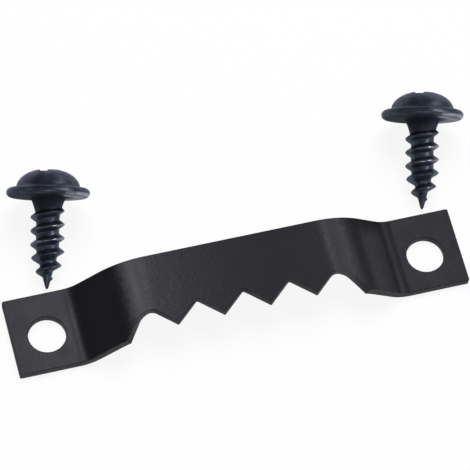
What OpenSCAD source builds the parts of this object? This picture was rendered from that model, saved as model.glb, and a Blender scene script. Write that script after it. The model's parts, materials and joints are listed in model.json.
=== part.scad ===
// Sawtooth picture hanger: a strip of sheet steel, punched with two screw holes and a row of teeth
// and bent into a low bridge, with the two washer-head wood screws that fix it to a frame.
// The strip lies on its two tabs with the teeth towards -Y. The screws lie loose behind it.
// The origin is midway between the two holes, on the plane that the tabs lie on.

/* [Strip] */
// Width across the strip
strip_w = 8.3; // [7.2:0.1:12]
// Thickness of the sheet
sheet_t = 0.9; // [0.5:0.05:1.2]
// Height of the bridge's underside over the tabs' underside
bridge_rise = 3.9; // [2:0.1:5]
// Length of the bridge between its two bend lines
bridge_len = 22.8; // [20:0.1:25]
// Length that each ramp takes up along the strip, between its bend lines
ramp_run = 4.9; // [4:0.05:6]
// Length of each tab, from its bend line to the end of the strip
tab_len = 7.2; // [7:0.1:12]
// Radius of the two bends at the ends of the bridge, at the middle of the sheet
upper_bend_r = 7; // [1.5:0.1:9]
// Radius of the two bends at the tabs, at the middle of the sheet
lower_bend_r = 3; // [1.5:0.1:4.5]
// Radius of the strip's four corners
corner_r = 0.2; // [0.1:0.05:1.5]

/* [Screw holes] */
// Distance from each end of the strip to the middle of its hole
hole_inset = 3.65; // [2.8:0.05:4]
// How far the holes lie from the strip's middle line, towards the teeth
hole_offset = 0.37; // [0:0.01:0.8]
// Play of the screw's thread in its hole
hole_clearance = 0.35; // [0.1:0.05:0.8]

/* [Teeth] */
// Number of teeth
tooth_count = 4; // [2:1:5]
// Distance from one tooth to the next
tooth_pitch = 4.79; // [3.5:0.01:5]
// Depth of the notches between the teeth
tooth_depth = 2.12; // [0.8:0.02:2.5]
// How far the teeth stop short of the strip's edge
tip_setback = 0.52; // [0.2:0.02:1]
// Length along the strip of the slope from the outermost notch out to the edge
flank_run = 2.8; // [2.5:0.05:4]
// Where that slope turns steeper: distance from the notch along the strip
knee_run = 1.2; // [1:0.05:1.5]
// and how far below the notch
knee_drop = 0.6; // [0.3:0.05:0.8]
// Radius of that turn
knee_r = 1.6; // [0.5:0.1:2]
// Radius at the tips of the teeth
tip_r = 0.1; // [0.05:0.01:0.3]
// Radius at the bottom of the notches
notch_r = 0.2; // [0.05:0.01:0.4]
// Radius at the bottom of the two outermost notches
end_notch_r = 1.1; // [0.3:0.1:1.2]

/* [Screw head] */
// Diameter of the washer flange
flange_d = 8.5; // [7.5:0.1:10]
// Thickness of the washer flange, which has a round rim
flange_t = 0.95; // [0.6:0.05:1.3]
// Diameter of the dome at its base
dome_d = 6.5; // [5.4:0.1:7]
// Height of the dome over the flange
dome_h = 2; // [1.5:0.02:2.4]
// Reach of the cross recess over two opposite wings, at the top of the dome
recess_d = 4.2; // [3.4:0.1:4.8]
// Reach of the wings at the bottom of the recess
recess_foot_d = 1.6; // [1.2:0.1:2.4]
// Width of the wings
recess_w = 0.95; // [0.6:0.05:1.1]
// Depth of the recess below the top of the dome
recess_depth = 1.75; // [1:0.05:2.2]

/* [Screw shank] */
// Length under the head
screw_len = 9.3; // [9:0.05:14]
// Diameter over the crests of the thread
thread_d = 3.5; // [3:0.05:3.8]
// Diameter at the root of the thread
root_d = 2.35; // [1.9:0.05:2.5]
// Advance of the thread in one turn
thread_pitch = 1.4; // [1.1:0.05:1.8]
// Diameter of the neck where it meets the flange
neck_d = 3.65; // [2.8:0.05:3.8]
// Length of the flared neck, down to the root diameter
neck_len = 2.6; // [0.8:0.05:3.2]
// Depth under the head where the thread comes out of the core
thread_start = 0.4; // [0.2:0.05:1.5]
// Length over which the thread rises to its full height, and over which it sinks away again
thread_lead = 1; // [0.5:0.05:1.5]
// Length at the point that the thread leaves plain
thread_stop = 0.9; // [0.6:0.05:1.5]
// Length of the pointed end
point_len = 3.95; // [3:0.05:5]
// How much nearer to the point the thread's crests begin to taper than its core does
crest_lag = 0.4; // [0:0.05:0.8]
// Length of the blunter cone at the very point
tip_len = 0.65; // [0.4:0.05:1]
// Diameter where that cone begins
tip_d = 0.6; // [0.4:0.05:0.8]

/* [Layout of the screws] */
// Gap between the strip's plain edge and the left screw's point
screw_gap = 0.46; // [0.4:0.02:10]
// How much further back the right screw lies than the left one
right_setback = 0.16; // [0:0.02:5]
// How far each point lies to the right of its hole
screw_shift = 1.16; // [-3:0.02:3]
// Heading of the screws, in degrees to the right of +Y
screw_heading = 13.8; // [-30:0.2:30]
// Turn of the screws about their own axes, in degrees
screw_spin = 340; // [0:1:360]

/* [Hidden] */
$fn = 64;
steel_black = "#303134";
screw_black = "#1f222b";
// Segments in a rounded corner of an outline, and in a quarter of the head's curves
corner_steps = 4;
curve_steps = 6;
// Extra reach of a cut past the face that it goes through
overrun = 0.5;

// Strip: the side view follows the middle of the sheet
near_y = hole_offset - strip_w / 2;
far_y = hole_offset + strip_w / 2;
tip_y = near_y + tip_setback;
notch_y = tip_y + tooth_depth;
row_half = tooth_count * tooth_pitch / 2;
ramp_angle = atan2(bridge_rise, ramp_run);
upper_setback = upper_bend_r * tan(ramp_angle / 2);
lower_setback = lower_bend_r * tan(ramp_angle / 2);
bend_top_x = bridge_len / 2 - upper_setback;
bend_foot_x = bridge_len / 2 + ramp_run + lower_setback;
ramp_flat = norm([ramp_run, bridge_rise]) - upper_setback - lower_setback;
strip_len = bridge_len + 2 * (ramp_run + tab_len);
hole_x = strip_len / 2 - hole_inset;
hole_d = thread_d + hole_clearance;

// Screw: heights are measured from the underside of the flange, depths downwards from it
rim_r = flange_t / 2;
rim_path_r = flange_d / 2 - rim_r;
head_top = flange_t + dome_h;
root_r = root_d / 2;
thread_h = (thread_d - root_d) / 2;
// Half the angle between the two flanks of the thread, and how far its ridge reaches into the core
flank_angle = 30;
ridge_sink = thread_h / 4;
// Sections of the ridge in one turn and in all, and the angle from a wing of the recess to its start
ridge_steps = 24;
ridge_len = screw_len - thread_stop - thread_start;
ridge_count = ceil(ridge_len / thread_pitch * ridge_steps);
ridge_phase = 251;
// Width of the recess's round core, as a share of the reach of its wings
recess_core_share = 0.66;

function unit(v) = v / norm(v);
function reversed(list) = [for (i = [len(list) - 1:-1:0]) list[i]];
function arc(c, r, from, to, steps) =
    [for (i = [0:steps]) let (a = from + (to - from) * i / steps) c + r * [cos(a), sin(a)]];

// A corner p of an outline, rounded to radius r between its neighbours
function round_corner(before, p, after, r) =
    let (u = unit(before - p), v = unit(after - p))
    let (half = acos(u * v) / 2, c = p + unit(u + v) * r / sin(half))
    let (s = p + u * r / tan(half) - c, from = atan2(s[1], s[0]))
    let (turn = (u[0] * v[1] - u[1] * v[0] > 0 ? -1 : 1) * (180 - 2 * half))
    arc(c, r, from, from + turn, corner_steps);

// Corners are [x, y, radius]
function round_outline(corners) =
    let (n = len(corners), xy = [for (k = corners) [k[0], k[1]]])
    [for (i = [0:n - 1]) each round_corner(xy[(i + n - 1) % n], xy[i], xy[(i + 1) % n], corners[i][2])];

// The punched strip seen from above: the toothed edge from left to right, then the plain edge
function teeth() =
    [for (i = [1:2 * tooth_count - 1]) [
        i * tooth_pitch / 2 - row_half,
        i % 2 == 0 ? notch_y : tip_y,
        i % 2 == 0 ? notch_r : tip_r
    ]];

// Slope on one side of the teeth, from the outermost notch out to the strip's corner
function end_flank(side) = [
    [side * row_half, notch_y, end_notch_r],
    [side * (row_half + knee_run), notch_y - knee_drop, knee_r],
    [side * (row_half + flank_run), near_y, tip_r],
    [side * strip_len / 2, near_y, corner_r]
];

function strip_corners() = concat(
    reversed(end_flank(-1)),
    teeth(),
    end_flank(1),
    [[strip_len / 2, far_y, corner_r], [-strip_len / 2, far_y, corner_r]]
);

// A bend of the sheet about the origin, seen from the side, between two angles
module bend(r, from, to) {
    reach = (r + sheet_t) / cos((to - from) / 2);
    intersection() {
        difference() {
            circle(r + sheet_t / 2);
            circle(r - sheet_t / 2);
        }
        polygon([[0, 0], reach * [cos(from), sin(from)], reach * [cos(to), sin(to)]]);
    }
}

// Right half of the bent strip beyond the flat of the bridge, seen from the side
module half_side() {
    translate([bend_top_x, bridge_rise + sheet_t / 2 - upper_bend_r]) {
        bend(upper_bend_r, 90 - ramp_angle, 90);
        translate(upper_bend_r * [sin(ramp_angle), cos(ramp_angle)])
            rotate(-ramp_angle)
                translate([0, -sheet_t / 2]) square([ramp_flat, sheet_t]);
    }
    translate([bend_foot_x, sheet_t / 2 + lower_bend_r])
        bend(lower_bend_r, 270 - ramp_angle, 270);
    translate([bend_foot_x, 0]) square([strip_len / 2 - bend_foot_x, sheet_t]);
}

module strip_side() {
    translate([-bend_top_x, bridge_rise]) square([2 * bend_top_x, sheet_t]);
    half_side();
    mirror([1, 0]) half_side();
}

module hanger_strip() {
    color(steel_black) difference() {
        intersection() {
            translate([0, far_y + overrun, 0])
                rotate([90, 0, 0]) linear_extrude(strip_w + 2 * overrun) strip_side();
            translate([0, 0, -overrun])
                linear_extrude(bridge_rise + sheet_t + 2 * overrun)
                    polygon(round_outline(strip_corners()));
        }
        for (side = [-1, 1])
            translate([side * hole_x, 0, -overrun])
                cylinder(h = bridge_rise + sheet_t + 2 * overrun, d = hole_d);
    }
}

// Radius of the screw's core at a depth under the head
function core_r(depth) =
    let (left = screw_len - depth)
    left > point_len ? root_r
    : left > tip_len ? tip_d / 2 + (root_r - tip_d / 2) * (left - tip_len) / (point_len - tip_len)
    : tip_d / 2 * left / tip_len;

function ridge_depth(i) = thread_start + ridge_len * i / ridge_count;
function ridge_angle(i) = ridge_phase - 360 * (ridge_depth(i) - thread_start) / thread_pitch;

// Height of the ridge over the core: it comes out of the core and goes back into it
function ridge_h(i) =
    let (done = ridge_depth(i) - thread_start)
    let (rise = min(1, done / thread_lead, (ridge_len - done) / thread_lead))
    rise * (thread_h + ridge_sink / 2) - ridge_sink / 2;

function crest_r(i) = core_r(ridge_depth(i) - crest_lag) + ridge_h(i);

// Three points round the ridge's triangular section: above, crest, below
function ridge_section(i) =
    let (d = ridge_depth(i), a = ridge_angle(i), inner = core_r(d) - ridge_sink)
    let (half = (crest_r(i) - inner) * tan(flank_angle), way = [cos(a), sin(a), 0])
    [
        inner * way + [0, 0, half - d],
        crest_r(i) * way - [0, 0, d],
        inner * way - [0, 0, half + d]
    ];

// The screw's ridge is one closed band of triangles wound down its core
module thread_ridge() {
    points = [for (i = [0:ridge_count]) each ridge_section(i)];
    last = 3 * ridge_count;
    sides = [for (i = [0:ridge_count - 1], k = [0:2])
        let (a = 3 * i + k, b = 3 * i + (k + 1) % 3)
        each [[a, b, a + 3], [b, b + 3, a + 3]]];
    polyhedron(points, concat([[2, 1, 0]], sides, [[last, last + 1, last + 2]]));
}

// Half section of the screw without its thread, as [radius, height]
function screw_section() = concat(
    [[0, -screw_len], [tip_d / 2, tip_len - screw_len], [root_r, point_len - screw_len]],
    [for (i = [0:curve_steps]) let (share = i / curve_steps)
        [root_r + (neck_d / 2 - root_r) * share * share, neck_len * (share - 1)]],
    arc([rim_path_r, rim_r], rim_r, -90, 90, 2 * curve_steps),
    [for (i = [0:2 * curve_steps]) let (a = 45 * i / curve_steps)
        [dome_d / 2 * cos(a), flange_t + dome_h * sin(a)]]
);

module recess_wing() {
    slope = (recess_d - recess_foot_d) / 2 / recess_depth;
    top = recess_d / 2 + slope * overrun;
    foot = recess_foot_d / 2;
    high = recess_depth + overrun;
    rotate([90, 0, 0])
        linear_extrude(recess_w, center = true)
            polygon([[-foot, 0], [foot, 0], [top, high], [-top, high]]);
}

module cross_recess() {
    translate([0, 0, head_top - recess_depth]) {
        recess_wing();
        rotate([0, 0, 90]) recess_wing();
        cylinder(
            h = recess_depth,
            d1 = recess_core_share * recess_foot_d,
            d2 = recess_core_share * recess_d
        );
    }
}

module screw() {
    difference() {
        union() {
            rotate_extrude() polygon(screw_section());
            thread_ridge();
        }
        cross_recess();
    }
}

// Slope at which a screw lies on its rim and on a ring of radius r, that far along from the rim
function lean_on(along, r) =
    acos(-rim_r / norm([along, rim_path_r - r])) - atan2(along, rim_path_r - r);

// The screw lies on its rim and on the outermost of its thread and point
screw_lean = min([
    lean_on(screw_len + rim_r, 0),
    for (i = [0:ridge_count]) lean_on(ridge_depth(i) + rim_r, crest_r(i))
]);
point_z = rim_path_r * cos(screw_lean) + rim_r - (screw_len + rim_r) * sin(screw_lean);

// A screw that lies behind the strip, with its point near the hole on that side
module lying_screw(side, setback) {
    translate([side * hole_x + screw_shift, far_y + screw_gap + setback, point_z])
        rotate([screw_lean - 90, 0, -screw_heading])
            rotate([0, 0, screw_spin])
                translate([0, 0, screw_len]) screw();
}

module left_screw() {
    color(screw_black) lying_screw(-1, 0);
}

module right_screw() {
    color(screw_black) lying_screw(1, right_setback);
}

hanger_strip();
left_screw();
right_screw();
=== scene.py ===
"""Sawtooth picture hanger: a black steel strip with two screw holes and a row of teeth, bent into a
low bridge, and the two washer-head wood screws that lie behind it.

The strip starts as a flat punched blank with rolled edges, and a rule bends it. The screw starts as a
turned and upset blank with a cross recess, and a rule rolls its thread. Sizes are in millimetres, as in
the part's source, until a finished mesh is put in place in metres.
"""
import json
import math

import bpy
import numpy as np
from mathutils import Matrix, Vector
from mathutils.geometry import delaunay_2d_cdt


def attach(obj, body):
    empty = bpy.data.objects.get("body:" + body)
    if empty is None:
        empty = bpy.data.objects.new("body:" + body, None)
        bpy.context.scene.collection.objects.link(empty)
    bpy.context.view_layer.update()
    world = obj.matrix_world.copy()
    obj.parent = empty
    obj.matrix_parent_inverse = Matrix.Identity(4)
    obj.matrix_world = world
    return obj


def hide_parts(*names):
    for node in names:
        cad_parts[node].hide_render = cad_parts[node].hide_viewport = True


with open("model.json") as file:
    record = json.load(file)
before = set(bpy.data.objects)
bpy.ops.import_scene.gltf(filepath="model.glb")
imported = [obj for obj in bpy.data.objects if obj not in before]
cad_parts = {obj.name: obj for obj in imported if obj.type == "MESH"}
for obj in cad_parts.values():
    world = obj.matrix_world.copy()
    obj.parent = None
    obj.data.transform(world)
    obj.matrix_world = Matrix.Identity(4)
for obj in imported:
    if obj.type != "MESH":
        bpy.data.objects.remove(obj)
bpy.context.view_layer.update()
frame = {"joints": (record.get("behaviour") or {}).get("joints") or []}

MM = 0.001
MATH = "ShaderNodeMath"
MIX = "ShaderNodeMix"
MAP_RANGE = "ShaderNodeMapRange"

# Strip
STRIP_LEN = 47.0
STRIP_W = 8.3
SHEET_T = 0.9
BRIDGE_RISE = 3.9
BRIDGE_LEN = 22.8
RAMP_RUN = 4.9
UPPER_BEND_R = 7.0
LOWER_BEND_R = 3.0
CORNER_R = 0.2
HOLE_X = 19.85
HOLE_R = 1.925
HOLE_OFFSET = 0.37
TOOTH_COUNT = 4
TOOTH_PITCH = 4.79
TOOTH_DEPTH = 2.12
TIP_SETBACK = 0.52
FLANK_RUN = 2.8
KNEE_RUN = 1.2
KNEE_DROP = 0.6
KNEE_R = 1.6
TIP_R = 0.1
NOTCH_R = 0.2
END_NOTCH_R = 1.1
NEAR_Y = HOLE_OFFSET - STRIP_W / 2
FAR_Y = HOLE_OFFSET + STRIP_W / 2
TIP_Y = NEAR_Y + TIP_SETBACK
NOTCH_Y = TIP_Y + TOOTH_DEPTH
ROW_HALF = TOOTH_COUNT * TOOTH_PITCH / 2
RAMP_ANGLE = math.atan2(BRIDGE_RISE, RAMP_RUN)
BEND_TOP_X = BRIDGE_LEN / 2 - UPPER_BEND_R * math.tan(RAMP_ANGLE / 2)
BEND_FOOT_X = BRIDGE_LEN / 2 + RAMP_RUN + LOWER_BEND_R * math.tan(RAMP_ANGLE / 2)

# Punched edges: the punch rolls the upper edge over and leaves the lower one nearly sharp
UPPER_ROLL_R = 0.09
LOWER_ROLL_R = 0.04
UPPER_ROLL_STEPS = 5
LOWER_ROLL_STEPS = 3
CORNER_STEPS = 9
HOLE_STEPS = 72
BLANK_STEP = 0.3
BLANK_MARGIN = 0.2
MERGE_GAP = 1e-7

# How far the painted highlight on the upper bends leans to the start of the bend, and how sharply it peaks
# there
HIGHLIGHT_LEAN = 0.66
HIGHLIGHT_PEAK = 6.0

# Screw head, with heights over the underside of its flange
FLANGE_D = 8.5
FLANGE_T = 0.95
DOME_R = 3.25
DOME_H = 2.0
DOME_FILLET_R = 0.35
HEAD_TOP = FLANGE_T + DOME_H
RECESS_D = 4.2
RECESS_FOOT_D = 1.6
RECESS_W = 0.95
RECESS_DEPTH = 1.75
RECESS_CORE_SHARE = 0.66
RECESS_FLOOR = HEAD_TOP - RECESS_DEPTH
RECESS_PIT = 0.25
RECESS_LIP = 0.05
DOME_TURN_R = 2.4
LIP_TURN = RECESS_LIP / DOME_TURN_R
# Degrees from the middle of a wing: from, to, and how many columns, closest where the wing meets the core
RECESS_COLUMNS = ((0, 12, 3), (12, 30, 9), (30, 45, 4))
RECESS_WALL_RINGS = (0.0, 0.08, 0.3, 0.55, 0.8)
DOME_STEPS = 18
FILLET_STEPS = 6
RIM_STEPS = 16
RIM_TRIES = 40
RIM_SHARE_MAX = 0.999
LEAST_SINE = 1e-6
DOME_END_TRIES = 20

# Screw shank, with depths under the flange
SCREW_LEN = 9.3
THREAD_D = 3.5
ROOT_D = 2.35
THREAD_PITCH = 1.4
THREAD_START = 0.4
THREAD_LEAD = 1.0
THREAD_STOP = 0.9
THREAD_PHASE = 251
NECK_D = 3.65
NECK_LEN = 2.6
POINT_LEN = 3.95
THREAD_HALF_ANGLE = 30
THREAD_ONSET = 6.0
CREST_R = 0.14
CREST_LAG = 0.4
ROOT_EASE = 0.25
CORE_EASE = 0.12
TIP_LEN = 0.65
TIP_D = 0.6
POINT_SLOPE = (ROOT_D - TIP_D) / 2 / (POINT_LEN - TIP_LEN)
SCREW_SPIN = 340
RING_STEP = 0.035

# Painted light and wear on the screws: the lit side ends at a cosine from its middle, and the other side
# gets painted shade. The rim runs from 0, its top, to 1, its foot
SIDE_EDGE = 0.2
SIDE_FADE = 0.2
RIM_SHADE_FROM = 0.6
LOW_HIGHLIGHT_AT = 0.7
LOW_HIGHLIGHT_HALF = 0.12
HIGH_HIGHLIGHT_AT = 0.25
HIGH_HIGHLIGHT_HALF = 0.1
HIGH_HIGHLIGHT_SHARE = 0.8
HIGH_HIGHLIGHT_EDGE = 0.45
HIGH_HIGHLIGHT_EDGE_FADE = 0.15
HIGHLIGHT_FADE = 0.1
LIP_RUB = 1.0
LIP_SIDE_RUB = 0.5
NECK_SHADE_LEN = 2.4
SHANK_SIDE_SHADE = 0.15


def linear(hex_colour):
    """An sRGB hex colour as the linear colour that shaders take."""
    parts = [int(hex_colour[i:i + 2], 16) / 255 for i in (1, 3, 5)]
    return [c / 12.92 if c <= 0.04045 else ((c + 0.055) / 1.055) ** 2.4 for c in parts] + [1.0]


def add(tree, kind, inputs=None, **settings):
    """Adds a node. An input is a plain value, a socket, or a node, which stands for its first output."""
    node = tree.nodes.new(kind)
    for name, value in settings.items():
        setattr(node, name, value)
    for key, value in (inputs or {}).items():
        source = value.outputs[0] if isinstance(value, bpy.types.Node) else value
        if isinstance(source, bpy.types.NodeSocket):
            tree.links.new(source, node.inputs[key])
        else:
            node.inputs[key].default_value = source
    return node


def put_in_scene(name, mesh):
    piece = bpy.data.objects.new(name, mesh)
    bpy.context.scene.collection.objects.link(piece)
    return piece


def mesh_of(name, points, faces):
    mesh = bpy.data.meshes.new(name)
    mesh.from_pydata([tuple(p) for p in points], [], faces)
    mesh.update()
    mesh.polygons.foreach_set("use_smooth", [True] * len(mesh.polygons))
    return mesh


# Finishes: noise mostly lies between the low and high values, and nearly all of it between min and max

NOISE_LOW = 0.36
NOISE_HIGH = 0.64
NOISE_MIN = 0.3
NOISE_MAX = 0.7

# Electrocoat. Real grit is about 0.05 mm, too fine to show, so it is drawn at 0.32 mm
COAT_CLOUD_MM = 2.6
COAT_STREAK_MM = 0.7
COAT_STREAK_STRETCH = (1, 9, 9)
COAT_GRIT_MM = 0.32
COAT_BLOTCH_MM = 0.55
COAT_CLOUD_SHARE = 0.7
BLOTCH_LOW = 0.3
BLOTCH_HIGH = 0.75
BLOTCH_SHARE = 0.7
BLOTCH_BASE = 0.2
ARRIS_WEAR = 0.7
SPECK_CELL_MM = 2.4
SPECK_R_MM = 0.072
SPECK_ODDS = 0.14
COAT_ROUGH_DARK = 0.32
COAT_ROUGH_LIGHT = 0.24
WALL_ROUGH = 0.4
COAT_BUMP = 0.5
COAT_BUMP_MM = 0.02
COAT_IOR = 1.5

# Oxide. Real grit is about 0.03 mm, too fine to show, so it is drawn at 0.25 mm
OXIDE_CLOUD_MM = 0.9
OXIDE_GRIT_MM = 0.25
BARE_AND_GLINT_RAGGED = 0.5
BARE_AND_GLINT_FROM = 0.75
OXIDE_METALLIC = 0.75
OXIDE_ROUGH_DARK = 0.4
OXIDE_ROUGH_LIGHT = 0.3
SHADE_ROUGH = 0.4
BARE_AND_GLINT_SMOOTH = 0.22
OXIDE_BUMP = 0.2
OXIDE_BUMP_MM = 0.015

# Paper
PAPER_ROUGH = 0.9
PAPER_SHINE = 0.1
PAPER_GLOW = 0.9


def pattern(tree, place, size_mm, stretch=(1, 1, 1), detail=2.0, seed=0.0):
    """Cloudy noise whose features are size_mm across, drawn out along an axis by stretch."""
    scale = [1 / (size_mm * MM * s) for s in stretch]
    mapping = {"Vector": place, "Scale": scale, "Location": [seed] * 3}
    mapped = add(tree, "ShaderNodeMapping", mapping)
    return add(tree, "ShaderNodeTexNoise", {"Vector": mapped, "Scale": 1.0, "Detail": detail})


def black_electrocoat():
    """Black electrocoat on punched sheet steel: an even, satin black skin of little thickness. It gives
    the eye a charcoal grey where it mirrors soft light and near black where it doesn't, faint clouds and
    rolling streaks, a little grit, a painted highlight as a paler blotched band over the upper bends, and
    paler lines over the rolled edges. The punched walls are rougher."""
    finish = bpy.data.materials.new("black_electrocoat_on_sheet_steel")
    finish.use_nodes = True
    tree = finish.node_tree
    tree.nodes.clear()
    place = add(tree, "ShaderNodeTexCoord").outputs["Object"]
    clouds = pattern(tree, place, COAT_CLOUD_MM, detail=3.0, seed=3.1)
    streaks = pattern(tree, place, COAT_STREAK_MM, stretch=COAT_STREAK_STRETCH, seed=7.7)
    grit = pattern(tree, place, COAT_GRIT_MM, seed=1.3)
    shade = add(tree, MATH, {0: clouds, 1: COAT_CLOUD_SHARE}, operation="MULTIPLY")
    shade = add(tree, MATH, {0: streaks, 1: 1 - COAT_CLOUD_SHARE, 2: shade}, operation="MULTIPLY_ADD")
    spread = add(tree, MAP_RANGE, {"Value": shade, "From Min": NOISE_LOW, "From Max": NOISE_HIGH})
    shades = {"Factor": spread, 6: linear("#111216"), 7: linear("#191a1e")}
    skin = add(tree, MIX, shades, data_type="RGBA")
    # Painted highlight: a paler, blotched band on the upper face of the upper bends
    painted_bend_highlight = add(tree, "ShaderNodeAttribute", attribute_name="painted_bend_highlight").outputs["Fac"]
    blotches = pattern(tree, place, COAT_BLOTCH_MM, detail=1.0, seed=9.4)
    blotches = add(tree, MAP_RANGE, {"Value": blotches, "From Min": BLOTCH_LOW, "From Max": BLOTCH_HIGH})
    highlight_share = add(tree, MATH, {0: blotches, 1: BLOTCH_SHARE, 2: BLOTCH_BASE}, operation="MULTIPLY_ADD")
    highlight_share = add(tree, MATH, {0: highlight_share, 1: painted_bend_highlight}, operation="MULTIPLY")
    shades = {"Factor": highlight_share, 6: skin.outputs[2], 7: linear("#4a494d")}
    skin = add(tree, MIX, shades, data_type="RGBA")
    # The arris is where the edge value is midway between the face, 0, and the punched wall, 1
    edge = add(tree, "ShaderNodeAttribute", attribute_name="edge").outputs["Fac"]
    arris = add(tree, MATH, {0: edge, 1: 0.5}, operation="SUBTRACT")
    arris = add(tree, MATH, {0: arris}, operation="ABSOLUTE")
    arris = add(tree, MAP_RANGE, {"Value": arris, "From Min": 0.5, "From Max": 0.0})
    wear_and_sheen = add(tree, MATH, {0: arris, 1: spread}, operation="MULTIPLY")
    wear_and_sheen = add(tree, MATH, {0: wear_and_sheen, 1: ARRIS_WEAR}, operation="MULTIPLY")
    shades = {"Factor": wear_and_sheen, 6: skin.outputs[2], 7: linear("#5c5d60")}
    colour = add(tree, MIX, shades, data_type="RGBA")
    # Specks of bare or dusty metal, each in a cell of a grid
    cell = add(tree, "ShaderNodeMapping", {"Vector": place, "Scale": [1 / (SPECK_CELL_MM * MM)] * 3})
    speck = add(tree, "ShaderNodeTexVoronoi", {"Vector": cell, "Scale": 1.0})
    reach = SPECK_R_MM / SPECK_CELL_MM
    near = add(tree, MATH, {0: speck.outputs["Distance"], 1: reach}, operation="LESS_THAN")
    drawn = add(tree, MATH, {0: speck.outputs["Color"], 1: 1 - SPECK_ODDS}, operation="GREATER_THAN")
    shown = add(tree, MATH, {0: near, 1: drawn}, operation="MULTIPLY")
    shades = {"Factor": shown, 6: colour.outputs[2], 7: linear("#9a9a9c")}
    colour = add(tree, MIX, shades, data_type="RGBA")
    rough = add(
        tree,
        MAP_RANGE,
        {
            "Value": shade,
            "From Min": NOISE_MIN,
            "From Max": NOISE_MAX,
            "To Min": COAT_ROUGH_DARK,
            "To Max": COAT_ROUGH_LIGHT,
        },
    )
    rough = add(tree, MATH, {0: edge, 1: WALL_ROUGH, 2: rough}, operation="MULTIPLY_ADD")
    bump = add(
        tree, "ShaderNodeBump", {"Strength": COAT_BUMP, "Distance": COAT_BUMP_MM * MM, "Height": grit}
    )
    surface = add(
        tree,
        "ShaderNodeBsdfPrincipled",
        {
            "Base Color": colour.outputs[2],
            "Roughness": rough,
            "Normal": bump,
            "IOR": COAT_IOR,
            "Specular Tint": linear("#f0f0ff"),
        },
    )
    add(tree, "ShaderNodeOutputMaterial", {"Surface": surface})
    return finish


def black_oxide():
    """Blue-black oxide on steel, oiled: a hard skin of little thickness, dark but metallic, on a rolled
    and upset screw. It gives the eye a bluish black with soft grey lights, faintly clouded, with painted
    shade under the flange, on the neck and on one side, painted highlights of uncoated steel on the rim's
    other side, and uncoated steel where the recess's lip and the thread's crests have lost their skin,
    more of them on the lit side."""
    finish = bpy.data.materials.new("blue_black_oxide_on_steel")
    finish.use_nodes = True
    tree = finish.node_tree
    tree.nodes.clear()
    place = add(tree, "ShaderNodeTexCoord").outputs["Object"]
    clouds = pattern(tree, place, OXIDE_CLOUD_MM, detail=3.0, seed=5.2)
    grit = pattern(tree, place, OXIDE_GRIT_MM, seed=2.9)
    spread = add(tree, MAP_RANGE, {"Value": clouds, "From Min": NOISE_LOW, "From Max": NOISE_HIGH})
    shades = {"Factor": spread, 6: linear("#323742"), 7: linear("#494e5b")}
    skin = add(tree, MIX, shades, data_type="RGBA")
    # The value runs from painted shade, -1, over the plain skin, 0, to bare steel, 1: real wear at the
    # recess's lip and the crests, and painted highlights on the rim
    wear_and_painted_light = add(tree, "ShaderNodeAttribute", attribute_name="wear_and_painted_light").outputs["Fac"]
    painted_shade = add(tree, MAP_RANGE, {"Value": wear_and_painted_light, "From Min": 0.0, "From Max": -1.0})
    ragged = add(tree, MATH, {0: clouds, 1: 0.5}, operation="SUBTRACT")
    ragged = add(tree, MATH, {0: ragged, 1: BARE_AND_GLINT_RAGGED, 2: wear_and_painted_light}, operation="MULTIPLY_ADD")
    bare_and_glint = add(tree, MAP_RANGE, {"Value": ragged, "From Min": BARE_AND_GLINT_FROM, "From Max": 1.0})
    shades = {"Factor": painted_shade, 6: skin.outputs[2], 7: linear("#1f222c")}
    colour = add(tree, MIX, shades, data_type="RGBA")
    shades = {"Factor": bare_and_glint, 6: colour.outputs[2], 7: linear("#8b8d93")}
    colour = add(tree, MIX, shades, data_type="RGBA")
    rough = add(
        tree,
        MAP_RANGE,
        {
            "Value": clouds,
            "From Min": NOISE_MIN,
            "From Max": NOISE_MAX,
            "To Min": OXIDE_ROUGH_DARK,
            "To Max": OXIDE_ROUGH_LIGHT,
        },
    )
    rough = add(tree, MATH, {0: painted_shade, 1: SHADE_ROUGH, 2: rough}, operation="MULTIPLY_ADD")
    rough = add(tree, MATH, {0: bare_and_glint, 1: -BARE_AND_GLINT_SMOOTH, 2: rough}, operation="MULTIPLY_ADD")
    bump = add(
        tree, "ShaderNodeBump", {"Strength": OXIDE_BUMP, "Distance": OXIDE_BUMP_MM * MM, "Height": grit}
    )
    surface = add(
        tree,
        "ShaderNodeBsdfPrincipled",
        {
            "Base Color": colour.outputs[2],
            "Metallic": OXIDE_METALLIC,
            "Roughness": rough,
            "Normal": bump,
            "Specular Tint": linear("#c4c8d4"),
        },
    )
    add(tree, "ShaderNodeOutputMaterial", {"Surface": surface})
    return finish


def white_paper():
    """Matt white paper: even and soft. Its own glow for the camera keeps the background white."""
    finish = bpy.data.materials.new("matt_white_paper")
    finish.use_nodes = True
    tree = finish.node_tree
    tree.nodes.clear()
    paper = add(
        tree,
        "ShaderNodeBsdfPrincipled",
        {"Base Color": linear("#f4f4f4"), "Roughness": PAPER_ROUGH, "Specular IOR Level": PAPER_SHINE},
    )
    glow = add(tree, "ShaderNodeEmission", {"Color": linear("#ffffff"), "Strength": 1.0})
    ray = add(tree, "ShaderNodeLightPath").outputs
    seen = add(tree, MATH, {0: ray["Is Camera Ray"], 1: ray["Is Glossy Ray"]}, operation="ADD")
    seen = add(tree, MATH, {0: seen, 1: ray["Is Transmission Ray"]}, operation="ADD")
    share = add(tree, MATH, {0: seen, 1: PAPER_GLOW}, operation="MULTIPLY")
    mixed = add(tree, "ShaderNodeMixShader", {0: share, 1: paper, 2: glow})
    add(tree, "ShaderNodeOutputMaterial", {"Surface": mixed})
    return finish


# Rules that shape the pieces

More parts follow.
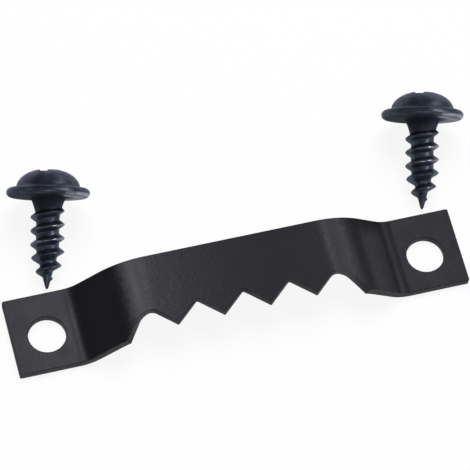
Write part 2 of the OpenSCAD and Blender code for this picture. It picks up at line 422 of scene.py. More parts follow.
def new_rule(name, sizes):
    """A geometry tree with the piece's mesh and the named sizes as its inputs."""
    tree = bpy.data.node_groups.new(name, "GeometryNodeTree")
    tree.interface.new_socket("Geometry", in_out="INPUT", socket_type="NodeSocketGeometry")
    for size in sizes:
        tree.interface.new_socket(size, in_out="INPUT", socket_type="NodeSocketFloat")
    tree.interface.new_socket("Finish", in_out="INPUT", socket_type="NodeSocketMaterial")
    tree.interface.new_socket("Geometry", in_out="OUTPUT", socket_type="NodeSocketGeometry")
    return tree, add(tree, "NodeGroupInput").outputs


def end_rule(tree, shaped, given):
    whole = add(tree, "GeometryNodeRealizeInstances", {"Geometry": shaped})
    finished = add(tree, "GeometryNodeSetMaterial", {"Geometry": whole, "Material": given["Finish"]})
    add(tree, "NodeGroupOutput", {0: finished})


def shaped_by(tree, blank, values):
    """The plain mesh that the rule makes of the blank, with its normals weighted by the faces' areas."""
    piece = put_in_scene("blank", blank)
    rule = piece.modifiers.new("rule", "NODES")
    rule.node_group = tree
    for item in tree.interface.items_tree:
        if item.in_out == "INPUT" and item.name in values:
            rule[item.identifier] = values[item.name]
    piece.modifiers.new("normals", "WEIGHTED_NORMAL")
    depsgraph = bpy.context.evaluated_depsgraph_get()
    mesh = bpy.data.meshes.new_from_object(
        piece.evaluated_get(depsgraph), preserve_all_data_layers=True, depsgraph=depsgraph
    )
    bpy.data.objects.remove(piece)
    return mesh


def bend_rule():
    """Bends a flat strip up into a bridge: flat, bend, ramp, bend, flat on each side of its middle."""
    tree, given = new_rule(
        "bend the strip",
        ("Sheet", "Rise", "Ramp angle", "Upper radius", "Lower radius", "Upper bend from")
        + ("Lower bend to", "Highlight lean", "Highlight peak"),
    )
    at = add(tree, "GeometryNodeInputPosition")
    x, y, z = add(tree, "ShaderNodeSeparateXYZ", {0: at}).outputs
    out = add(tree, MATH, {0: x}, operation="ABSOLUTE")
    side = add(tree, MATH, {0: x}, operation="SIGN")
    sine = add(tree, MATH, {0: given["Ramp angle"]}, operation="SINE")
    cosine = add(tree, MATH, {0: given["Ramp angle"]}, operation="COSINE")
    slope = add(tree, MATH, {0: given["Ramp angle"]}, operation="TANGENT")
    # For each bend: its length along the strip, the sine of the tilt at a point, and the drop there
    bends = []
    upper_run = add(tree, MATH, {0: out, 1: given["Upper bend from"]}, operation="SUBTRACT")
    lower_run = add(tree, MATH, {0: given["Lower bend to"], 1: out}, operation="SUBTRACT")
    for run, radius in ((upper_run, given["Upper radius"]), (lower_run, given["Lower radius"])):
        reach = add(tree, MATH, {0: radius, 1: sine}, operation="MULTIPLY")
        tilt = add(tree, MATH, {0: run, 1: radius}, operation="DIVIDE")
        tilt = add(tree, MATH, {0: tilt, 1: 0.0}, operation="MAXIMUM")
        tilt = add(tree, MATH, {0: tilt, 1: sine}, operation="MINIMUM")
        square = add(tree, MATH, {0: tilt, 1: tilt}, operation="MULTIPLY")
        left = add(tree, MATH, {0: 1.0, 1: square}, operation="SUBTRACT")
        left = add(tree, MATH, {0: left}, operation="SQRT")
        left = add(tree, MATH, {0: 1.0, 1: left}, operation="SUBTRACT")
        drop = add(tree, MATH, {0: radius, 1: left}, operation="MULTIPLY")
        bends.append((reach, tilt, drop))
    (upper_reach, upper_tilt, upper_drop), (lower_reach, lower_tilt, lower_drop) = bends
    ramp_from = add(tree, MATH, {0: given["Upper bend from"], 1: upper_reach}, operation="ADD")
    ramp_to = add(tree, MATH, {0: given["Lower bend to"], 1: lower_reach}, operation="SUBTRACT")
    along = add(tree, MATH, {0: out, 1: ramp_from}, operation="MAXIMUM")
    along = add(tree, MATH, {0: along, 1: ramp_to}, operation="MINIMUM")
    along = add(tree, MATH, {0: along, 1: ramp_from}, operation="SUBTRACT")
    fall = add(tree, MATH, {0: along, 1: slope, 2: upper_drop}, operation="MULTIPLY_ADD")
    level = add(tree, MATH, {0: 1.0, 1: cosine}, operation="SUBTRACT")
    fall = add(tree, MATH, {0: given["Lower radius"], 1: level, 2: fall}, operation="MULTIPLY_ADD")
    fall = add(tree, MATH, {0: fall, 1: lower_drop}, operation="SUBTRACT")
    half_sheet = add(tree, MATH, {0: given["Sheet"], 1: 0.5}, operation="MULTIPLY")
    middle = add(tree, MATH, {0: given["Rise"], 1: half_sheet}, operation="ADD")
    middle = add(tree, MATH, {0: middle, 1: fall}, operation="SUBTRACT")
    # The sheet keeps its thickness square to the bent middle
    tilt = add(tree, MATH, {0: upper_tilt, 1: lower_tilt}, operation="MINIMUM")
    upright = add(tree, MATH, {0: tilt, 1: tilt}, operation="MULTIPLY")
    upright = add(tree, MATH, {0: 1.0, 1: upright}, operation="SUBTRACT")
    upright = add(tree, MATH, {0: upright}, operation="SQRT")
    depth = add(tree, MATH, {0: z, 1: half_sheet}, operation="SUBTRACT")
    aside = add(tree, MATH, {0: tilt, 1: side}, operation="MULTIPLY")
    new_x = add(tree, MATH, {0: aside, 1: depth, 2: x}, operation="MULTIPLY_ADD")
    new_z = add(tree, MATH, {0: upright, 1: depth, 2: middle}, operation="MULTIPLY_ADD")
    moved = add(tree, "ShaderNodeCombineXYZ", {0: new_x, 1: y, 2: new_z})
    bent = add(tree, "GeometryNodeSetPosition", {"Geometry": given["Geometry"], "Position": moved})
    # A painted highlight on the outer face, strongest about a third of the way round the upper bends and
    # nothing at their ends: four times s (1 - s) is 1 where s is half
    share = add(tree, MATH, {0: upper_tilt, 1: sine}, operation="DIVIDE")
    share = add(tree, MATH, {0: share, 1: given["Highlight lean"]}, operation="POWER")
    left = add(tree, MATH, {0: 1.0, 1: share}, operation="SUBTRACT")
    stretch = add(tree, MATH, {0: share, 1: left}, operation="MULTIPLY")
    stretch = add(tree, MATH, {0: stretch, 1: 4.0}, operation="MULTIPLY")
    stretch = add(tree, MATH, {0: stretch, 1: given["Highlight peak"]}, operation="POWER")
    height = add(tree, MATH, {0: z, 1: given["Sheet"]}, operation="DIVIDE")
    stretch = add(tree, MATH, {0: stretch, 1: height}, operation="MULTIPLY")
    marked = add(
        tree,
        "GeometryNodeStoreNamedAttribute",
        {"Geometry": bent, "Name": "painted_bend_highlight", "Value": stretch},
        data_type="FLOAT",
        domain="POINT",
    )
    end_rule(tree, marked, given)
    return tree


def thread_rule():
    """Rolls a right-hand thread up out of a plain shank: a ridge with round crest and roots that climbs
    out of the core under the neck and sinks into the point. It also adds the crests' wear to the painted
    light and wear that the blank carries."""
    tree, given = new_rule(
        "roll the thread",
        ("Pitch", "Height", "Start", "Stop", "Lead", "Flank slope", "Phase", "Crest radius", "Root ease")
        + ("Neck length", "Neck flare", "Point from", "Point slope", "Crest lag", "Onset"),
    )
    at = add(tree, "GeometryNodeInputPosition")
    x, y, z = add(tree, "ShaderNodeSeparateXYZ", {0: at}).outputs
    depth = add(tree, MATH, {0: z, 1: -1.0}, operation="MULTIPLY")
    turn = add(tree, MATH, {0: y, 1: x}, operation="ARCTAN2")
    turn = add(tree, MATH, {0: turn, 1: given["Phase"]}, operation="SUBTRACT")
    turn = add(tree, MATH, {0: turn, 1: math.tau}, operation="DIVIDE")
    rows = add(tree, MATH, {0: depth, 1: given["Start"]}, operation="SUBTRACT")
    rows = add(tree, MATH, {0: rows, 1: given["Pitch"]}, operation="DIVIDE")
    rows = add(tree, MATH, {0: rows, 1: turn}, operation="ADD")
    nearest = add(tree, MATH, {0: rows}, operation="ROUND")
    off = add(tree, MATH, {0: rows, 1: nearest}, operation="SUBTRACT")
    off = add(tree, MATH, {0: off, 1: given["Pitch"]}, operation="MULTIPLY")
    crest_depth = add(tree, MATH, {0: depth, 1: off}, operation="SUBTRACT")
    begun = add(tree, MATH, {0: crest_depth, 1: given["Start"]}, operation="SUBTRACT")
    to_go = add(tree, MATH, {0: given["Stop"], 1: crest_depth}, operation="SUBTRACT")
    rise = add(tree, MATH, {0: begun, 1: to_go}, operation="MINIMUM")
    rise = add(tree, MATH, {0: rise, 1: given["Lead"]}, operation="DIVIDE", use_clamp=True)
    # The core tapers into the point a little before the crests do
    late = add(tree, MATH, {0: crest_depth, 1: given["Point from"]}, operation="SUBTRACT")
    late = add(tree, MATH, {0: late, 1: 0.0}, operation="MAXIMUM")
    late = add(tree, MATH, {0: late, 1: given["Crest lag"]}, operation="MINIMUM")
    high = add(tree, MATH, {0: rise, 1: given["Height"]}, operation="MULTIPLY")
    high = add(tree, MATH, {0: late, 1: given["Point slope"], 2: high}, operation="MULTIPLY_ADD")
    square = add(tree, MATH, {0: given["Crest radius"], 1: given["Crest radius"]}, operation="MULTIPLY")
    square = add(tree, MATH, {0: off, 1: off, 2: square}, operation="MULTIPLY_ADD")
    away = add(tree, MATH, {0: square}, operation="SQRT")
    away = add(tree, MATH, {0: away, 1: given["Crest radius"]}, operation="SUBTRACT")
    drop = add(tree, MATH, {0: away, 1: given["Flank slope"]}, operation="MULTIPLY")
    ridge = add(tree, MATH, {0: high, 1: drop}, operation="SUBTRACT")
    # The neck's flare hides part of the ridge
    flare = add(tree, MATH, {0: depth, 1: given["Neck length"]}, operation="DIVIDE")
    flare = add(tree, MATH, {0: 1.0, 1: flare}, operation="SUBTRACT", use_clamp=True)
    flare = add(tree, MATH, {0: flare, 1: flare}, operation="MULTIPLY")
    flare = add(tree, MATH, {0: flare, 1: given["Neck flare"]}, operation="MULTIPLY")
    ridge = add(tree, MATH, {0: ridge, 1: flare}, operation="SUBTRACT")
    ridge = add(tree, MATH, {0: ridge, 1: 0.0, 2: given["Root ease"]}, operation="SMOOTH_MAX")
    present = add(tree, MATH, {0: rise, 1: given["Onset"]}, operation="MULTIPLY", use_clamp=True)
    ridge = add(tree, MATH, {0: ridge, 1: present}, operation="MULTIPLY")
    outward = add(tree, "ShaderNodeCombineXYZ", {0: x, 1: y})
    outward = add(tree, "ShaderNodeVectorMath", {0: outward}, operation="NORMALIZE")
    push = add(tree, "ShaderNodeVectorMath", {0: outward, "Scale": ridge}, operation="SCALE")
    rolled = add(tree, "GeometryNodeSetPosition", {"Geometry": given["Geometry"], "Offset": push})
    # The crests in the point are rubbed less
    wear_and_sheen = add(tree, MATH, {0: ridge, 1: given["Height"]}, operation="DIVIDE")
    wear_and_sheen = add(tree, MATH, {0: wear_and_sheen, 1: late}, operation="SUBTRACT")
    wear_and_sheen = add(tree, MATH, {0: wear_and_sheen, 1: 0.0}, operation="MAXIMUM")
    # The blank's painted shade and painted highlights are added to the crests' wear
    before = add(tree, "GeometryNodeInputNamedAttribute", {"Name": "wear_and_painted_light"})
    wear_and_sheen = add(tree, MATH, {0: wear_and_sheen, 1: before}, operation="ADD")
    marked = add(
        tree,
        "GeometryNodeStoreNamedAttribute",
        {"Geometry": rolled, "Name": "wear_and_painted_light", "Value": wear_and_sheen},
        data_type="FLOAT",
        domain="POINT",
    )
    end_rule(tree, marked, given)
    return tree


# Strip

def rounded_outline(corners):
    """Points along an outline with corners (x, y, radius), and the way into the metal at each point."""
    points, inward = [], []
    count = len(corners)
    ends = []
    for i, (x, y, radius) in enumerate(corners):
        here = np.array((x, y))
        back = np.array(corners[i - 1][:2]) - here
        ahead = np.array(corners[(i + 1) % count][:2]) - here
        back, ahead = back / np.linalg.norm(back), ahead / np.linalg.norm(ahead)
        half = math.acos(float(back @ ahead)) / 2
        centre = here + (back + ahead) / np.linalg.norm(back + ahead) * radius / math.sin(half)
        start = here + back * radius / math.tan(half) - centre
        first = math.atan2(start[1], start[0])
        outer = back[0] * ahead[1] - back[1] * ahead[0] < 0
        sweep = (1 if outer else -1) * (math.pi - 2 * half)
        arc = [first + sweep * k / CORNER_STEPS for k in range(CORNER_STEPS + 1)]
        spokes = np.array([(math.cos(a), math.sin(a)) for a in arc])
        ends.append((centre + radius * spokes, -spokes if outer else spokes))
    for (arc, ways), (next_arc, _) in zip(ends, ends[1:] + ends[:1]):
        points.extend(arc)
        inward.extend(ways)
        gap = next_arc[0] - arc[-1]
        length = np.linalg.norm(gap)
        pieces = max(1, round(length / BLANK_STEP))
        left = np.array((-gap[1], gap[0])) / length
        for k in range(1, pieces):
            points.append(arc[-1] + gap * k / pieces)
            inward.append(left)
    return np.array(points), np.array(inward)


def end_flank(side):
    """The outline on one side of the teeth, from the outermost notch out to the strip's corner."""
    return [
        (side * ROW_HALF, NOTCH_Y, END_NOTCH_R),
        (side * (ROW_HALF + KNEE_RUN), NOTCH_Y - KNEE_DROP, KNEE_R),
        (side * (ROW_HALF + FLANK_RUN), NEAR_Y, TIP_R),
        (side * STRIP_LEN / 2, NEAR_Y, CORNER_R),
    ]


def blank_corners():
    teeth = []
    for i in range(1, 2 * TOOTH_COUNT):
        x = i * TOOTH_PITCH / 2 - ROW_HALF
        teeth.append((x, TIP_Y, TIP_R) if i % 2 else (x, NOTCH_Y, NOTCH_R))
    far_corners = [(STRIP_LEN / 2, FAR_Y, CORNER_R), (-STRIP_LEN / 2, FAR_Y, CORNER_R)]
    return end_flank(-1)[::-1] + teeth + end_flank(1) + far_corners


def edge_section():
    """From the lower face over the punched wall to the upper face: way in, height, and share of wall."""
    section = []
    for k in range(LOWER_ROLL_STEPS + 1):
        a = math.pi / 2 * k / LOWER_ROLL_STEPS
        height = LOWER_ROLL_R * (1 - math.cos(a))
        section.append((LOWER_ROLL_R * (1 - math.sin(a)), height, k / LOWER_ROLL_STEPS))
    for k in range(UPPER_ROLL_STEPS + 1):
        a = math.pi / 2 * k / UPPER_ROLL_STEPS
        height = SHEET_T - UPPER_ROLL_R * (1 - math.sin(a))
        section.append((UPPER_ROLL_R * (1 - math.cos(a)), height, 1 - k / UPPER_ROLL_STEPS))
    return section


def inside(points, loop):
    """Which points lie inside a closed loop."""
    crossings = np.zeros(len(points), int)
    for (x0, y0), (x1, y1) in zip(loop, np.roll(loop, -1, axis=0)):
        spans = (points[:, 1] < y0) != (points[:, 1] < y1)
        if y0 != y1:
            crossings += spans & (points[:, 0] < x0 + (x1 - x0) * (points[:, 1] - y0) / (y1 - y0))
    return crossings % 2 == 1


def punched_blank():
    """The flat strip, punched out with its teeth and holes, lying on its lower face."""
    loops = [rounded_outline(blank_corners())]
    for side in (-1, 1):
        turns = [-math.tau * k / HOLE_STEPS for k in range(HOLE_STEPS)]
        spokes = np.array([(math.cos(a), math.sin(a)) for a in turns])
        loops.append((np.array((side * HOLE_X, 0)) + HOLE_R * spokes, spokes))
    section = edge_section()
    points, walls, faces = [], [], []
    rims = {0: [], len(section) - 1: []}
    for outline, inward in loops:
        rings = []
        for k, (way_in, height, wall) in enumerate(section):
            flat = outline + way_in * inward
            rings.append(range(len(points), len(points) + len(flat)))
            points.extend((x, y, height) for x, y in flat)
            walls.extend([wall] * len(flat))
            if k in rims:
                rims[k].append((rings[-1], flat))
        count = len(outline)
        for low, high in zip(rings, rings[1:]):
            for i in range(count):
                j = (i + 1) % count
                faces.append((low[i], low[j], high[j], high[i]))
    # Both faces take one net of triangles, which runs from the upper rims over an even grid
    upper, lower = rims[len(section) - 1], rims[0]
    xs = np.linspace(-STRIP_LEN / 2, STRIP_LEN / 2, round(STRIP_LEN / BLANK_STEP) + 1)
    ys = np.linspace(NEAR_Y, FAR_Y, round(STRIP_W / BLANK_STEP) + 1)
    grid = np.array([(x, y) for x in xs for y in ys])
    outer, outer_way = loops[0]
    margin = UPPER_ROLL_R + BLANK_MARGIN
    keep = inside(grid, outer + margin * outer_way)
    for outline, way in loops[1:]:
        keep &= ~inside(grid, outline + margin * way)
    grid = grid[keep]
    flat = np.concatenate([ring for _, ring in upper] + [grid])
    borders, start = [], 0
    for _, ring in upper:
        borders += [(start + i, start + (i + 1) % len(ring)) for i in range(len(ring))]
        start += len(ring)
    only_inside = 1
    found = delaunay_2d_cdt([Vector(p) for p in flat], borders, [], only_inside, MERGE_GAP)
    places, triangles, origins = found[0], found[2], found[3]
    first = [o[0] for o in origins]
    holes = [outline + UPPER_ROLL_R * way for outline, way in loops[1:]]
    middles = np.array([sum((places[v] for v in t), Vector((0, 0))) / 3 for t in triangles])
    metal = np.ones(len(triangles), bool)
    for hole in holes:
        metal &= ~inside(middles, hole)
    for rim, height, flip in ((upper, SHEET_T, False), (lower, 0.0, True)):
        index = [i for ring, _ in rim for i in ring]
        index += range(len(points), len(points) + len(grid))
        points.extend((x, y, height) for x, y in grid)
        walls.extend([0.0] * len(grid))
        for triangle, kept in zip(triangles, metal):
            if kept:
                corners = [index[first[v]] for v in triangle]
                faces.append(corners[::-1] if flip else corners)
    mesh = mesh_of("punched_blank", points, faces)
    marks = mesh.attributes.new("edge", "FLOAT", "POINT").data
    marks.foreach_set("value", np.array(walls, np.float32))
    return mesh


# Screws

def column_angles():
    """Angles round the screw, closest where the recess's wings turn into its core."""
    half = []
    for start, stop, count in RECESS_COLUMNS:
        half += list(np.linspace(start, stop, count, endpoint=False))
    quarter = half + [45] + [90 - a for a in half[:0:-1]]
    return np.radians([a + 90 * k for k in range(4) for a in quarter])


def recess_radius(angles, heights):
    """How far the cross recess reaches from the axis: wings with square ends round a round core."""
    reach = RECESS_FOOT_D / 2 + (RECESS_D - RECESS_FOOT_D) / 2 * (heights - RECESS_FLOOR) / RECESS_DEPTH
    from_wing = np.abs((angles + math.pi / 4) % (math.pi / 2) - math.pi / 4)
    end = reach / np.cos(from_wing)
    flank = RECESS_W / 2 / np.maximum(np.sin(from_wing), LEAST_SINE)
    return np.maximum(RECESS_CORE_SHARE * reach, np.minimum(end, flank))


def core_radius(depth):
    """Radius of the shank under its thread: a flared neck, a straight part, and a point."""
    left = SCREW_LEN - depth
    cone = TIP_D / 2 + POINT_SLOPE * (left - TIP_LEN)
    gap = max(CORE_EASE - abs(ROOT_D / 2 - cone), 0) / CORE_EASE
    flare = max(1 - depth / NECK_LEN, 0) ** 2 * (NECK_D - ROOT_D) / 2
    radius = min(ROOT_D / 2, cone) - gap * gap * CORE_EASE / 4 + flare
    return min(radius, TIP_D / 2 * math.sqrt(max(left, 0) / TIP_LEN)) if left < TIP_LEN else radius


def dome_end():
    """Where the dome runs into the fillet at its foot: the angle on its ellipse, and the slope there."""
    tilt = 0.0
    for _ in range(DOME_END_TRIES):
        end = math.asin(DOME_FILLET_R * (1 - math.sin(tilt)) / DOME_H)
        tilt = math.atan(DOME_R / DOME_H * math.tan(end))
    return end, tilt


def risen(value, start, length):
    """0 up to the start, 1 from a length beyond it on, and evenly up between them."""
    return np.clip((value - start) / length, 0, 1)


def rim_painted_light(along, turned, shaded_side):
    """Painted light on the rim: two painted highlights on one side, and painted shade towards its foot
    elsewhere.
    """
    low_highlight = 1 - risen(abs(along - LOW_HIGHLIGHT_AT), LOW_HIGHLIGHT_HALF, HIGHLIGHT_FADE)
    high_highlight = 1 - risen(abs(along - HIGH_HIGHLIGHT_AT), HIGH_HIGHLIGHT_HALF, HIGHLIGHT_FADE)
    high_highlight_side = 1 - risen(turned, HIGH_HIGHLIGHT_EDGE, HIGH_HIGHLIGHT_EDGE_FADE)
    wear_and_sheen = low_highlight + HIGH_HIGHLIGHT_SHARE * high_highlight * high_highlight_side
    return wear_and_sheen - (wear_and_sheen + risen(along, RIM_SHADE_FROM, 1 - RIM_SHADE_FROM)) * shaded_side


def screw_blank():
    """The screw before its thread is rolled, head up, with the flange's underside at height 0."""
    angles = column_angles()
    count = len(angles)
    ways = np.stack([np.cos(angles), np.sin(angles)], axis=1)
    rim_z = np.full(count, HEAD_TOP)
    for _ in range(RIM_TRIES):
        spread = np.minimum(recess_radius(angles, rim_z) / DOME_R, RIM_SHARE_MAX)
        rim_z = FLANGE_T + DOME_H * np.sqrt(1 - spread ** 2)
    rim_r = recess_radius(angles, rim_z)
    rings, ring_wear_and_light = [], []
    # Painted shade on the flange's underside and the shank, apart from the side that the light falls on;
    # just under the flange the shank is shaded all round
    turned = np.cos(angles + math.radians(SCREW_SPIN))
    shaded_side = 1 - risen(turned, SIDE_EDGE, SIDE_FADE)

    def ring(radius, height, wear_and_light=0.0):
        rings.append((np.broadcast_to(radius, count), np.broadcast_to(height, count)))
        ring_wear_and_light.append(np.broadcast_to(wear_and_light, count))

    # Recess walls up to the lip, the rounded lip, then the dome
    for share in RECESS_WALL_RINGS:
        height = RECESS_FLOOR + (rim_z - RECESS_LIP - RECESS_FLOOR) * share
        ring(recess_radius(angles, height), height)
    lip_low = (recess_radius(angles, rim_z - RECESS_LIP), rim_z - RECESS_LIP)
    dome_from = np.arccos(rim_r / DOME_R) - LIP_TURN
    lip_out = (DOME_R * np.cos(dome_from), FLANGE_T + DOME_H * np.sin(dome_from))
    lip_mid = [(a + 2 * b + c) / 4 for a, b, c in zip(lip_low, (rim_r, rim_z), lip_out)]
    ring(*lip_low, LIP_SIDE_RUB)
    ring(*lip_mid, LIP_RUB)
    ring(*lip_out, LIP_SIDE_RUB)
    dome_to, tilt = dome_end()
    for k in range(1, DOME_STEPS + 1):
        a = dome_from + (dome_to - dome_from) * k / DOME_STEPS
        ring(DOME_R * np.cos(a), FLANGE_T + DOME_H * np.sin(a))
    foot_r = DOME_R * math.cos(dome_to) + DOME_FILLET_R * math.cos(tilt)
    for k in range(1, FILLET_STEPS + 1):
        a = tilt + (math.pi / 2 - tilt) * k / FILLET_STEPS
        ring(foot_r - DOME_FILLET_R * math.cos(a), FLANGE_T + DOME_FILLET_R * (1 - math.sin(a)))
    # Flange with a full round rim, then its underside and the shank
    tube_r = FLANGE_T / 2
    tube_at = FLANGE_D / 2 - tube_r
    for k in range(RIM_STEPS + 1):
        a = math.pi * (0.5 - k / RIM_STEPS)
        # Painted highlights and painted shade on the rim
        wear_and_light = rim_painted_light(k / RIM_STEPS, turned, shaded_side)
        ring(tube_at + tube_r * math.cos(a), tube_r + tube_r * math.sin(a), wear_and_light)
    # Painted shade on the flange's underside, away from the lit side
    ring((tube_at + NECK_D / 2) / 2, 0.0, -shaded_side)
    shank_steps = round(SCREW_LEN / RING_STEP)
    for k in range(shank_steps):
        depth = SCREW_LEN * k / shank_steps
        # Painted shade under the flange, and fainter painted shade on the shank's shaded side
        ring(core_radius(depth), -depth, -max(1 - depth / NECK_SHADE_LEN, 0) - SHANK_SIDE_SHADE * shaded_side)
    points, wear_and_painted_light = [(0, 0, RECESS_FLOOR - RECESS_PIT)], [0.0]
    for (radius, height), wear_and_light in zip(rings, ring_wear_and_light):
        points.extend(np.column_stack([ways * radius[:, None], height]))
        wear_and_painted_light.extend(wear_and_light)
    points.append((0, 0, -SCREW_LEN))
    wear_and_painted_light.append(0.0)
    last = len(points) - 1
    faces = []
    for i in range(count):
        j = (i + 1) % count
        faces.append((0, 1 + i, 1 + j))
        for k in range(len(rings) - 1):
            a, b = 1 + k * count, 1 + (k + 1) * count
            faces.append((a + i, b + i, b + j, a + j))
        faces.append((last - count + i, last, last - count + j))
    mesh = mesh_of("screw_blank", points, faces)
    marks = mesh.attributes.new("wear_and_painted_light", "FLOAT", "POINT").data
    marks.foreach_set("value", np.array(wear_and_painted_light, np.float32))
    return mesh


def lying_place(joint):
    """Where a screw lies, from its joint: the joint is at the point and its axis drives the screw in."""
    way = -Vector(joint["axis"]).normalized()
    lean, heading = math.asin(way.z), math.atan2(way.x, way.y)
    return (
        Matrix.Translation(Vector(joint["pos_m"]))
        @ Matrix.Rotation(-heading, 4, "Z")
        @ Matrix.Rotation(lean - math.pi / 2, 4, "X")
        @ Matrix.Rotation(math.radians(SCREW_SPIN), 4, "Z")
        @ Matrix.Scale(MM, 4)
        @ Matrix.Translation((0, 0, SCREW_LEN))
    )


def make_strip(finish):
    mesh = shaped_by(
        bend_rule(),
        punched_blank(),
        {
            "Sheet": SHEET_T,
            "Rise": BRIDGE_RISE,
            "Ramp angle": RAMP_ANGLE,
            "Upper radius": UPPER_BEND_R,
            "Lower radius": LOWER_BEND_R,
            "Upper bend from": BEND_TOP_X,
            "Lower bend to": BEND_FOOT_X,
            "Highlight lean": HIGHLIGHT_LEAN,
            "Highlight peak": HIGHLIGHT_PEAK,
            "Finish": finish,
        },
    )
    mesh.transform(Matrix.Scale(MM, 4))
    strip = put_in_scene("toothed_strip", mesh)
    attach(strip, "hanger")
    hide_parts("hanger_strip")
    return strip


def make_screws(finish):
    rolled = shaped_by(
        thread_rule(),
        screw_blank(),
        {
            "Pitch": THREAD_PITCH,
            "Height": (THREAD_D - ROOT_D) / 2,
            "Start": THREAD_START,
            "Stop": SCREW_LEN - THREAD_STOP,
            "Lead": THREAD_LEAD,
            "Flank slope": 1 / math.tan(math.radians(THREAD_HALF_ANGLE)),
            "Phase": math.radians(THREAD_PHASE),
            "Crest radius": CREST_R,
            "Root ease": ROOT_EASE,
            "Neck length": NECK_LEN,
            "Neck flare": (NECK_D - ROOT_D) / 2,
            "Point from": SCREW_LEN - POINT_LEN,
            "Point slope": POINT_SLOPE,
            "Crest lag": CREST_LAG,
            "Onset": THREAD_ONSET,
            "Finish": finish,
        },
    )
    screws = []
    for joint in frame["joints"]:
        mesh = rolled.copy()
        mesh.transform(lying_place(joint))
        screw = put_in_scene("wood_" + joint["child"], mesh)
        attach(screw, joint["child"])
        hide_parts(joint["child"])
        screws.append(screw)
    bpy.data.meshes.remove(rolled)
    return screws


# Stage

CAMERA_AZIMUTH = -22.957
CAMERA_ELEVATION = 64.21
CAMERA_ROLL = 9.12
CAMERA_TARGET = (1.548, 6.87, 0.0)
CAMERA_DISTANCE = 348.6
CAMERA_LENS = 260.8
SENSOR_W = 36

# The strip's softbox hangs close over it, in bands that the bends mirror: from x, to x, brightness
STRIP_LIGHT_Y = 46
STRIP_LIGHT_Z = 100
STRIP_LIGHT_W = 70
STRIP_BANDS = (
    (-66, -48, 0.6),
    (-48, -28, 2.3),
    (-28, -14, 0.35),
    (-14, -6, 0.8),
    (-6, 3, 4.3),
    (3, 28, 0.15),
    (28, 40, 0.45),
    (40, 52, 2.0),
    (52, 80, 0.1),
    (80, 125, 0.5),
    (125, 260, 1.2),
)

# The screws' softboxes: name, place, width and height, brightness
SCREW_LIGHTS = (
    ("right", (350, -170, 305), (240, 240), 2.6),
    ("glint", (345, -190, 300), (50, 50), 45.0),
    ("front", (-60, -375, 300), (260, 200), 2.6),
    ("rear", (300, 400, 90), (220, 130), 1.5),
    ("side", (375, 215, 250), (200, 160), 1.8),
    ("back_left", (-250, 430, 80), (300, 150), 0.8),
    ("left", (-430, 0, 250), (250, 250), 0.6),
    ("dome", (300, 10, 390), (120, 120), 13.0),
)

FLOOR_LIGHT_AT = (120, 280, 630)
FLOOR_LIGHT_SIZE = (450, 450)
FLOOR_LIGHT = 8.0
FLOOR_HALF = 1500
FLOOR_DROP = 0.02

# The sky is a little brighter at the right: it changes over this share of the way to each side
SKY_LEFT = 0.18
SKY_RIGHT = 0.25
SKY_SPAN = 0.7


def set_camera():
    azimuth, elevation = math.radians(CAMERA_AZIMUTH), math.radians(CAMERA_ELEVATION)
    back = Vector((
        math.sin(azimuth) * math.cos(elevation),
        -math.cos(azimuth) * math.cos(elevation),
        math.sin(elevation),
    ))
    level = Vector((math.cos(azimuth), math.sin(azimuth), 0))
    upright = back.cross(level)
    roll = math.radians(CAMERA_ROLL)
    right = level * math.cos(roll) + upright * math.sin(roll)
    up = upright * math.cos(roll) - level * math.sin(roll)
    lens = bpy.data.cameras.new("camera")
    lens.lens = CAMERA_LENS
    lens.sensor_width = SENSOR_W
    camera = bpy.data.objects.new("camera", lens)
    turned = Matrix((right, up, back)).transposed().to_4x4()
    place = (Vector(CAMERA_TARGET) + back * CAMERA_DISTANCE) * MM
    camera.matrix_world = Matrix.Translation(place) @ turned
    bpy.context.scene.collection.objects.link(camera)
    bpy.context.scene.camera = camera


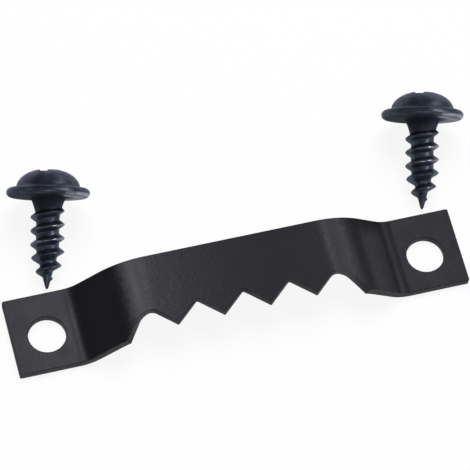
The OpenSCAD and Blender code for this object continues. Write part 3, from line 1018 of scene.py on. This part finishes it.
def add_softbox(name, at, toward, size, brightness, only=()):
    """A soft light of an even brightness. Its place, the place that it faces and its size are in
    millimetres. It can be kept to some pieces only, as the strip and the screws were lit apart."""
    lamp = bpy.data.lights.new(name, "AREA")
    lamp.shape = "RECTANGLE"
    lamp.size, lamp.size_y = (side * MM for side in size)
    lamp.energy = brightness * math.pi * lamp.size * lamp.size_y
    box = bpy.data.objects.new(name, lamp)
    back = Vector(at) - Vector(toward)
    turned = back.to_track_quat("Z", "Y").to_matrix().to_4x4()
    box.matrix_world = Matrix.Translation(Vector(at) * MM) @ turned
    box.visible_camera = False
    bpy.context.scene.collection.objects.link(box)
    if only:
        reached = bpy.data.collections.new("lit_by_" + name)
        for piece in only:
            reached.objects.link(piece)
        box.light_linking.receiver_collection = reached


def set_stage(strip, screws):
    side = FLOOR_HALF * MM
    sunk = -FLOOR_DROP * MM
    corners = [(-side, -side, sunk), (side, -side, sunk), (side, side, sunk), (-side, side, sunk)]
    floor = put_in_scene("paper_floor", mesh_of("paper_floor", corners, [(0, 1, 2, 3)]))
    floor.data.materials.append(white_paper())
    middle = (0, 0, 0)
    add_softbox("floor_softbox", FLOOR_LIGHT_AT, middle, FLOOR_LIGHT_SIZE, FLOOR_LIGHT, [floor])
    for i, (start, stop, brightness) in enumerate(STRIP_BANDS):
        over = ((start + stop) / 2, STRIP_LIGHT_Y, STRIP_LIGHT_Z)
        under = (over[0], STRIP_LIGHT_Y, 0)
        add_softbox(f"strip_softbox_{i}", over, under, (stop - start, STRIP_LIGHT_W), brightness, [strip])
    for name, at, size, brightness in SCREW_LIGHTS:
        add_softbox(f"screw_{name}_softbox", at, middle, size, brightness, screws)
    world = bpy.data.worlds.new("studio")
    world.use_nodes = True
    tree = world.node_tree
    tree.nodes.clear()
    way = add(tree, "ShaderNodeTexCoord").outputs["Generated"]
    across = add(tree, "ShaderNodeSeparateXYZ", {0: way}).outputs["X"]
    level = add(
        tree,
        MAP_RANGE,
        {
            "Value": across,
            "From Min": -SKY_SPAN,
            "From Max": SKY_SPAN,
            "To Min": SKY_LEFT,
            "To Max": SKY_RIGHT,
        },
    )
    sky = add(tree, "ShaderNodeBackground", {"Color": linear("#ffffff"), "Strength": level})
    add(tree, "ShaderNodeOutputWorld", {"Surface": sky})
    bpy.context.scene.world = world
    bpy.context.scene.view_settings.view_transform = "Standard"


set_camera()
set_stage(make_strip(black_electrocoat()), make_screws(black_oxide()))
